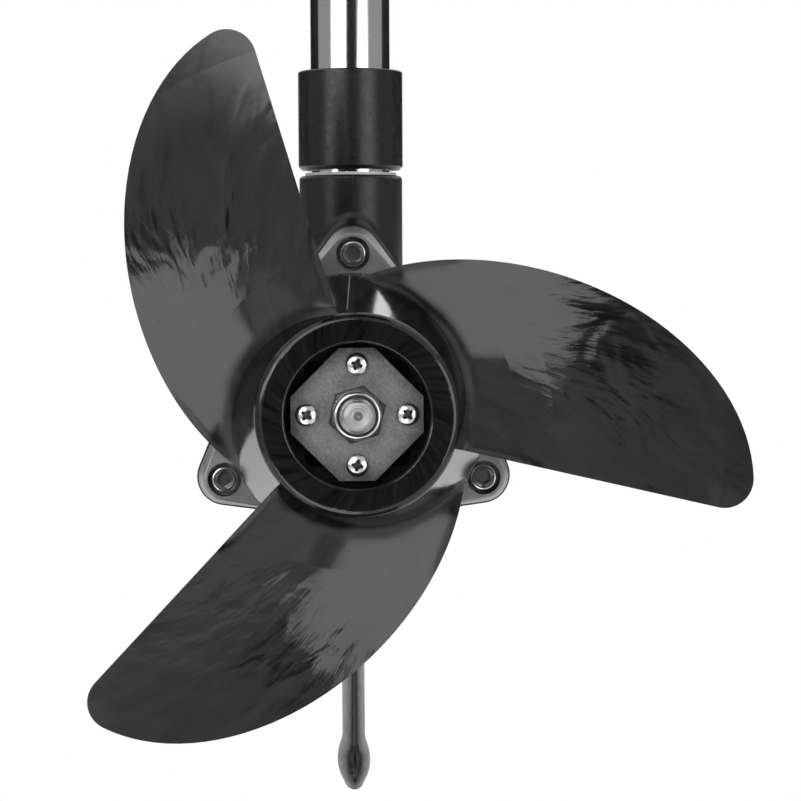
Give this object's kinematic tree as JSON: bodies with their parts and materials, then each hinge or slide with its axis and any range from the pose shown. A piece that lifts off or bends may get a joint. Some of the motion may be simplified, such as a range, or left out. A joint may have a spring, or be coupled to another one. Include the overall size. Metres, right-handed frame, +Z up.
{
  "type": "trolling motor lower unit",
  "caption": "Electric trolling motor lower unit: die-cast motor housing with skeg, end bell, swept-blade propeller with anode and nut, collar and tube stub.",
  "frame": {"origin": "centre of the shaft tube's top end", "axes": "+Z up along the tube, +Y towards the motor's nose (the way it drives forward), the propeller at -Y, +X to the right seen from behind the propeller"},
  "size_m": [0.2244, 0.2405, 0.4223],
  "materials": {
    "stainless_tube": "polished stainless",
    "collar_plastic": "satin black",
    "washer_nylon": "natural nylon",
    "rubber": "satin",
    "hardware": "bright stainless",
    "shaft_steel": "ground stainless",
    "housing_black": "black powder coat, fine texture",
    "bell_black": "satin black coat",
    "prop_black": "gloss black, glass-filled nylon",
    "anode_zinc": "as cast",
    "insert_nylon": "black nylon",
    "plain_steel": "plain steel",
    "core_steel": "laminated",
    "ferrite": "sintered ferrite",
    "copper_wire": "enamelled copper",
    "copper": "turned copper",
    "moulding": "phenolic",
    "card": "phenolic laminate",
    "brass": "plain",
    "spring_steel": "spring steel",
    "carbon": "graphite",
    "bearing_steel": "ground",
    "cage_nylon": "natural nylon"
  },
  "bodies": {
    "lower_unit": {"shaft_tube": "stainless_tube", "tube_collar": "collar_plastic", "neck_washer": "washer_nylon", "tube_o_ring": "rubber", "tube_lock_screw": "hardware", "lead_grommet": "rubber", "motor_housing": "housing_black", "rear_end_bell": "bell_black", "end_bell_screws": "hardware", "housing_o_ring": "rubber", "flux_ring": "plain_steel", "field_magnet_right": "ferrite", "field_magnet_left": "ferrite", "inner_shaft_seal": "rubber", "outer_shaft_seal": "rubber", "rear_bearing_outer": "bearing_steel", "front_bearing_outer": "bearing_steel", "bearing_spring_washer": "spring_steel", "brush_card": "card", "brush_card_screws": "hardware", "brush_holder_upper": "brass", "brush_holder_lower": "brass", "brush_spring_upper": "spring_steel", "brush_spring_lower": "spring_steel"},
    "rotor": {"motor_shaft": "shaft_steel", "armature_core": "core_steel", "armature_windings": "copper_wire", "commutator_hub": "moulding", "commutator_bars": "copper", "rear_bearing_inner": "bearing_steel", "front_bearing_inner": "bearing_steel", "drive_pin": "hardware", "propeller": "prop_black", "prop_washer": "hardware", "anode_plate": "anode_zinc", "anode_screws": "hardware", "prop_nut": "hardware", "nut_insert": "insert_nylon"},
    "rear_cage": {"rear_bearing_cage": "cage_nylon", "rear_bearing_balls": "bearing_steel"},
    "front_cage": {"front_bearing_cage": "cage_nylon", "front_bearing_balls": "bearing_steel"},
    "upper_brush": {"carbon_brush_upper": "carbon"},
    "lower_brush": {"carbon_brush_lower": "carbon"}
  },
  "joints": [
    {"name": "prop_spin", "type": "hinge", "parent": "lower_unit", "child": "rotor", "pos_m": [0, -0.09, -0.2727], "axis": [0, 1, 0], "continuous": true},
    {"name": "rear_cage_spin", "type": "hinge", "parent": "lower_unit", "child": "rear_cage", "pos_m": [0, -0.047, -0.2727], "axis": [0, 1, 0], "continuous": true},
    {"name": "front_cage_spin", "type": "hinge", "parent": "lower_unit", "child": "front_cage", "pos_m": [0, 0.093, -0.2727], "axis": [0, 1, 0], "continuous": true},
    {"name": "upper_brush_slide", "type": "slide", "parent": "lower_unit", "child": "upper_brush", "axis": [0, 0, 1], "range_m": [0, 0.003], "stiffness_N_per_m": 600, "springref_m": -0.008, "deforming": ["brush_spring_upper"]},
    {"name": "lower_brush_slide", "type": "slide", "parent": "lower_unit", "child": "lower_brush", "axis": [0, 0, -1], "range_m": [0, 0.003], "stiffness_N_per_m": 600, "springref_m": -0.008, "deforming": ["brush_spring_lower"]}
  ],
  "couplings": [
    {"joint": "rear_cage_spin", "follows": "prop_spin", "ratio": 0.385},
    {"joint": "front_cage_spin", "follows": "prop_spin", "ratio": 0.385}
  ]
}
